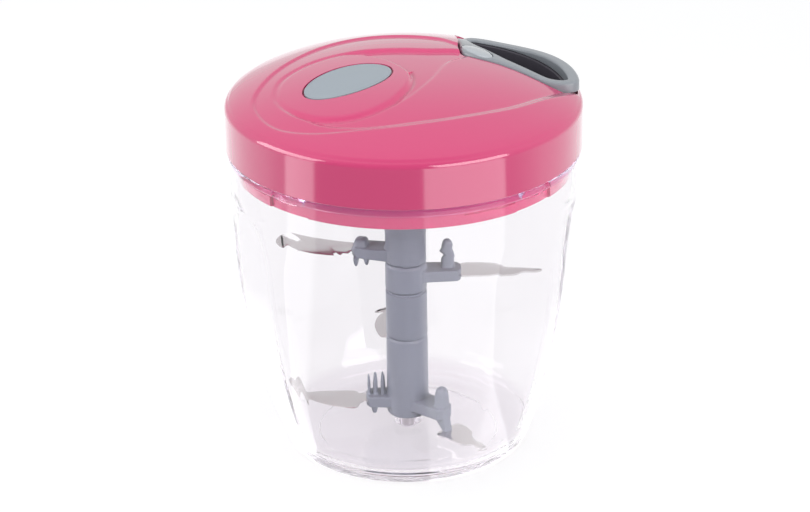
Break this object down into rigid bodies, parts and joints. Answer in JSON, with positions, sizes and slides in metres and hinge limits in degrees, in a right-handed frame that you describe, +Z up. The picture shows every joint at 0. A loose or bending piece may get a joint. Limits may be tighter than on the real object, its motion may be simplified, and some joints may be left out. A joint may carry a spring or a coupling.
{
  "type": "pull-cord food chopper",
  "caption": "Hand-powered food chopper: a clear fluted bowl with a turning blade set under a pink lid whose grey loop handle pulls a sprung cord.",
  "frame": {"origin": "centre of the bounding box's bottom face, on the surface that the bowl stands on", "axes": "+X the way the handle pulls out, +Z up along the blade shaft"},
  "size_m": [0.1326, 0.1328, 0.1526],
  "materials": {
    "bowl_clear": "clear, polished",
    "lid_pink": "high gloss",
    "badge_grey": "satin",
    "handle_grey": "satin",
    "tray_grey": "fine matt",
    "shaft_grey": "satin",
    "white_plastic": "moulded",
    "steel": "polished stainless",
    "silicone": "smooth",
    "cord": "braided"
  },
  "bodies": {
    "bowl": {"bowl": "bowl_clear", "bowl_pivot_pin": "steel"},
    "seal": {"lid_seal": "silicone"},
    "lid": {"lid_cover": "lid_pink", "badge_plate": "badge_grey", "lid_base": "lid_pink", "lid_screw_1": "steel", "lid_screw_2": "steel", "lid_screw_3": "steel", "lid_screw_4": "steel", "drive_bush": "white_plastic", "reel_axle": "steel", "axle_washer": "steel", "axle_screw": "steel", "cord_eyelet": "handle_grey", "clock_spring": "steel", "pocket_tray": "tray_grey"},
    "handle": {"pull_handle": "handle_grey", "handle_cap": "handle_grey", "cord_knot": "cord", "cord_lead": "cord"},
    "reel": {"cord_reel": "white_plastic", "cord_winding": "cord", "spring_cover": "steel"},
    "drive": {"pawl_carrier": "white_plastic", "drive_socket": "shaft_grey"},
    "pawl_one": {"pawl_1": "steel"},
    "pawl_two": {"pawl_2": "steel"},
    "blades": {"shaft_core": "steel", "lower_hub": "shaft_grey", "shaft_spacer": "shaft_grey", "upper_hub": "shaft_grey", "shaft_head": "shaft_grey", "blade_upper_left": "steel", "blade_upper_right": "steel", "blade_middle": "steel", "blade_lower_left": "steel", "blade_lower_right": "steel"}
  },
  "joints": [
    {"name": "lid_lift", "type": "slide", "parent": "bowl", "child": "seal", "axis": [0, 0, 1], "range_m": [0, 0.06]},
    {"name": "lid_turn", "type": "hinge", "parent": "seal", "child": "lid", "pos_m": [0, 0, 0.121], "axis": [0, 0, 1], "range_deg": [0, 20]},
    {"name": "handle_pull", "type": "slide", "parent": "lid", "child": "handle", "axis": [1, 0, 0], "range_m": [0, 0.3], "stiffness_N_per_m": 17, "springref_m": -0.3, "deforming": ["cord_lead"]},
    {"name": "reel_spin", "type": "hinge", "parent": "lid", "child": "reel", "pos_m": [0, 0, 0.139], "axis": [0, 0, 1], "continuous": true},
    {"name": "drive_spin", "type": "hinge", "parent": "lid", "child": "drive", "pos_m": [0, 0, 0.114], "axis": [0, 0, 1], "continuous": true},
    {"name": "pawl_1_swing", "type": "hinge", "parent": "drive", "child": "pawl_one", "pos_m": [0.01, 0, 0.1235], "axis": [0, 0, 1], "range_deg": [-12, 0], "stiffness_Nm_per_rad": 0.002, "springref_deg": 11.46},
    {"name": "pawl_2_swing", "type": "hinge", "parent": "drive", "child": "pawl_two", "pos_m": [-0.01, 0, 0.1235], "axis": [0, 0, 1], "range_deg": [-12, 0], "stiffness_Nm_per_rad": 0.002, "springref_deg": 11.46},
    {"name": "blade_spin", "type": "hinge", "parent": "bowl", "child": "blades", "pos_m": [0, 0, 0.024], "axis": [0, 0, 1], "continuous": true}
  ],
  "couplings": [
    {"joint": "reel_spin", "follows": "handle_pull", "rad_per_m": 58.139},
    {"joint": "drive_spin", "follows": "handle_pull", "rad_per_m": 58.139},
    {"joint": "blade_spin", "follows": "handle_pull", "rad_per_m": 58.139},
    {"joint": "pawl_2_swing", "follows": "pawl_1_swing", "ratio": 1}
  ]
}
